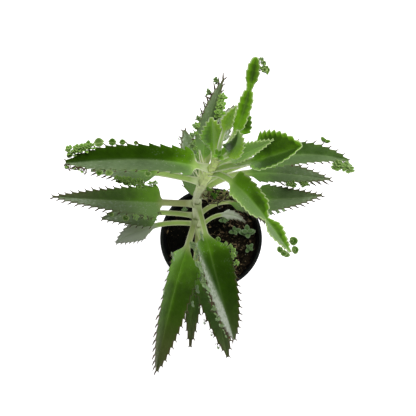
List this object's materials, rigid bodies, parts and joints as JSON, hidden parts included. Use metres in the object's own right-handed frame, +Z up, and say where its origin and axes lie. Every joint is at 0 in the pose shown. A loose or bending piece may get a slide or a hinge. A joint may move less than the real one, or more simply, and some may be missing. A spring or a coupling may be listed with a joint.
{
  "type": "potted kalanchoe houghtonii",
  "caption": "Succulent with a leaning stem and long toothed leaves that carry plantlets along their margins, rooted in a round black nursery pot of soil.",
  "frame": {"origin": "centre of the pot's underside, where the pot rests", "axes": "+Z up along the pot's axis; the stem leans towards +Y, and -Y is the side nearest the picture's viewer"},
  "size_m": [0.2413, 0.2282, 0.3709],
  "materials": {
    "pot": "black moulded plastic, slightly glossy on the rim",
    "soil": "dark damp potting mix with crumbs, bark bits and a little perlite",
    "stem": "pale grey-green, finely ribbed lengthways, satin",
    "young_leaf": "bright green, fleshy, pale margins, satin",
    "mature_leaf": "deep green with a pale waxy bloom, brown spurs between the teeth, satin",
    "old_leaf": "greyer green with a pale waxy bloom, satin",
    "seedling": "pale blue-green, small and waxy"
  },
  "bodies": {
    "root": {"pot": "pot", "soil": "soil", "stem": "stem", "leaf_01": "young_leaf", "leaf_02": "young_leaf", "leaf_03": "young_leaf", "leaf_04": "young_leaf", "leaf_05": "young_leaf", "leaf_06": "young_leaf", "leaf_07": "young_leaf", "leaf_08": "young_leaf", "leaf_09": "mature_leaf", "leaf_10": "mature_leaf", "leaf_11": "mature_leaf", "leaf_12": "mature_leaf", "leaf_13": "mature_leaf", "leaf_14": "mature_leaf", "leaf_15": "mature_leaf", "leaf_16": "mature_leaf", "leaf_17": "mature_leaf", "leaf_18": "mature_leaf", "leaf_19": "old_leaf", "leaf_20": "old_leaf", "leaf_21": "old_leaf", "leaf_22": "old_leaf", "leaf_23": "old_leaf", "leaf_24": "old_leaf", "leaf_25": "old_leaf", "seedling_1": "seedling", "seedling_2": "seedling", "seedling_3": "seedling", "seedling_4": "seedling", "seedling_5": "seedling", "seedling_6": "seedling"}
  },
  "joints": []
}
